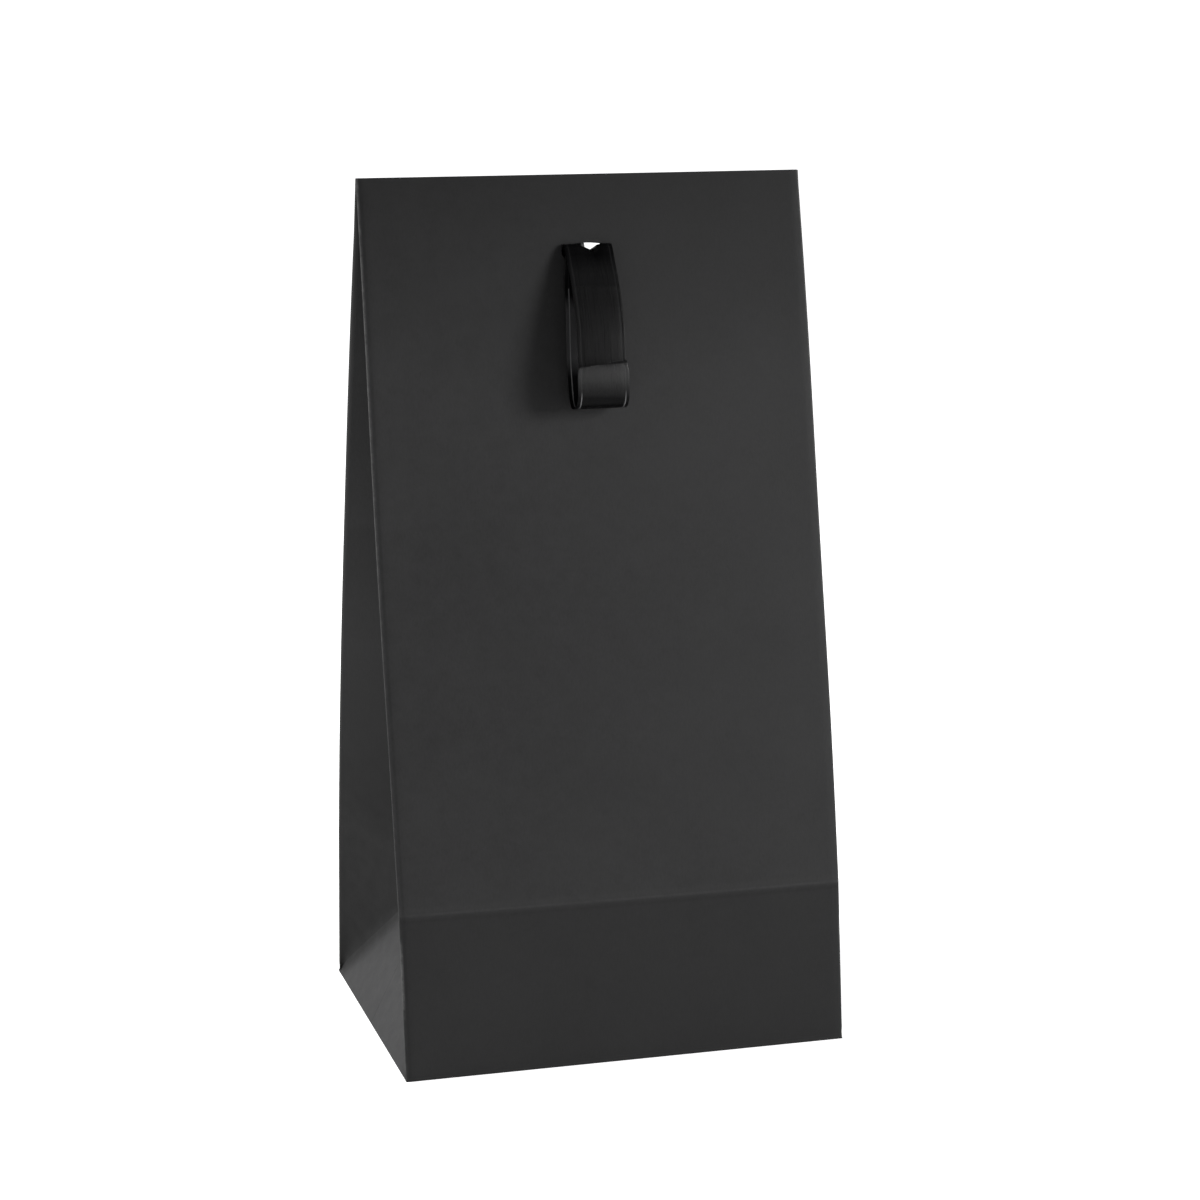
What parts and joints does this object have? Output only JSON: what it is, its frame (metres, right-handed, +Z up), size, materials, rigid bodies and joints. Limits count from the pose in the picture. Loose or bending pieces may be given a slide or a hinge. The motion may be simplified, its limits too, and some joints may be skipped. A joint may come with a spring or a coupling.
{
  "type": "paper gift bag",
  "caption": "Folded block-bottom paper gift bag with tucked-in sides, a pinched top and a satin ribbon loop through a slot.",
  "frame": {"origin": "middle of the rectangular base, on the surface the bag stands on", "axes": "+Z up, -Y out of the front panel that the ribbon loop hangs on, +X to the right of someone facing it"},
  "size_m": [0.13, 0.1004, 0.2482],
  "materials": {
    "paper_face": "matt black kraft paper",
    "paper_side": "matt black kraft paper",
    "paper_inner": "matt black kraft paper",
    "satin_ribbon": "black single-face satin with woven edges"
  },
  "bodies": {
    "base": {"bottom_flap_front": "paper_inner", "bottom_flap_rear": "paper_inner", "bottom_tuck_left": "paper_inner", "bottom_tuck_right": "paper_inner"},
    "front_wall": {"front_panel": "paper_face", "front_panel_lower": "paper_face", "ribbon_pass_front": "satin_ribbon"},
    "rear_wall": {"rear_panel": "paper_face", "rear_panel_lower": "paper_face", "seam_strip": "paper_inner", "ribbon_pass_rear": "satin_ribbon", "ribbon_knot": "satin_ribbon"},
    "left_front_side": {"gusset_left_front": "paper_side"},
    "left_rear_side": {"gusset_left_rear": "paper_side"},
    "right_front_side": {"gusset_right_front": "paper_side"},
    "right_rear_side": {"gusset_right_rear": "paper_side"},
    "left_front_low": {"gusset_left_front_lower": "paper_side"},
    "left_rear_low": {"gusset_left_rear_lower": "paper_side"},
    "right_front_low": {"gusset_right_front_lower": "paper_side"},
    "right_rear_low": {"gusset_right_rear_lower": "paper_side"},
    "left_triangle": {"gusset_left_triangle": "paper_side"},
    "right_triangle": {"gusset_right_triangle": "paper_side"},
    "ribbon_loop": {"ribbon_loop": "satin_ribbon"},
    "ribbon_tails": {"ribbon_tail_left": "satin_ribbon", "ribbon_tail_right": "satin_ribbon"}
  },
  "joints": [
    {"name": "mouth_open_front", "type": "hinge", "parent": "base", "child": "front_wall", "pos_m": [0, -0.05, 0], "axis": [1, 0, 0], "range_deg": [0, 5]},
    {"name": "mouth_open_rear", "type": "hinge", "parent": "base", "child": "rear_wall", "pos_m": [0, 0.05, 0], "axis": [-1, 0, 0], "range_deg": [0, 5]},
    {"name": "left_front_edge", "type": "hinge", "parent": "front_wall", "child": "left_front_side", "pos_m": [-0.065, -0.04483, 0.04611], "axis": [0, 0.2083, 0.9781], "range_deg": [0, 25.1]},
    {"name": "left_rear_edge", "type": "hinge", "parent": "rear_wall", "child": "left_rear_side", "pos_m": [-0.065, 0.04483, 0.04611], "axis": [0, 0.2083, -0.9781], "range_deg": [0, 25.1]},
    {"name": "right_front_edge", "type": "hinge", "parent": "front_wall", "child": "right_front_side", "pos_m": [0.065, -0.04483, 0.04611], "axis": [0, -0.2083, -0.9781], "range_deg": [0, 25.1]},
    {"name": "right_rear_edge", "type": "hinge", "parent": "rear_wall", "child": "right_rear_side", "pos_m": [0.065, 0.04483, 0.04611], "axis": [0, -0.2083, 0.9781], "range_deg": [0, 25.1]},
    {"name": "left_front_low_edge", "type": "hinge", "parent": "front_wall", "child": "left_front_low", "pos_m": [-0.065, -0.05, 0], "axis": [0, 0.1115, 0.9938], "range_deg": [0, 14.1]},
    {"name": "left_rear_low_edge", "type": "hinge", "parent": "rear_wall", "child": "left_rear_low", "pos_m": [-0.065, 0.05, 0], "axis": [0, 0.1115, -0.9938], "range_deg": [0, 14.1]},
    {"name": "right_front_low_edge", "type": "hinge", "parent": "front_wall", "child": "right_front_low", "pos_m": [0.065, -0.05, 0], "axis": [0, -0.1115, -0.9938], "range_deg": [0, 14.1]},
    {"name": "right_rear_low_edge", "type": "hinge", "parent": "rear_wall", "child": "right_rear_low", "pos_m": [0.065, 0.05, 0], "axis": [0, -0.1115, 0.9938], "range_deg": [0, 14.1]},
    {"name": "left_triangle_fold", "type": "hinge", "parent": "base", "child": "left_triangle", "pos_m": [-0.065, 0, 0], "axis": [0, -1, 0], "range_deg": [0, 14.1]},
    {"name": "right_triangle_fold", "type": "hinge", "parent": "base", "child": "right_triangle", "pos_m": [0.065, 0, 0], "axis": [0, 1, 0], "range_deg": [0, 14.1]},
    {"name": "ribbon_loop_swing", "type": "hinge", "parent": "front_wall", "child": "ribbon_loop", "pos_m": [0, -0.00705, 0.22496], "axis": [-1, 0, 0], "range_deg": [0, 130]},
    {"name": "ribbon_tails_swing", "type": "hinge", "parent": "rear_wall", "child": "ribbon_tails", "pos_m": [0, 0.01093, 0.22835], "axis": [1, 0, 0], "range_deg": [0, 120]}
  ],
  "couplings": [
    {"joint": "mouth_open_rear", "follows": "mouth_open_front", "ratio": 1},
    {"joint": "left_front_edge", "follows": "mouth_open_front", "ratio": 5},
    {"joint": "left_rear_edge", "follows": "mouth_open_front", "ratio": 5},
    {"joint": "right_front_edge", "follows": "mouth_open_front", "ratio": 5},
    {"joint": "right_rear_edge", "follows": "mouth_open_front", "ratio": 5},
    {"joint": "left_front_low_edge", "follows": "mouth_open_front", "ratio": 2.8},
    {"joint": "left_rear_low_edge", "follows": "mouth_open_front", "ratio": 2.8},
    {"joint": "right_front_low_edge", "follows": "mouth_open_front", "ratio": 2.8},
    {"joint": "right_rear_low_edge", "follows": "mouth_open_front", "ratio": 2.8},
    {"joint": "left_triangle_fold", "follows": "mouth_open_front", "ratio": 2.8},
    {"joint": "right_triangle_fold", "follows": "mouth_open_front", "ratio": 2.8}
  ]
}
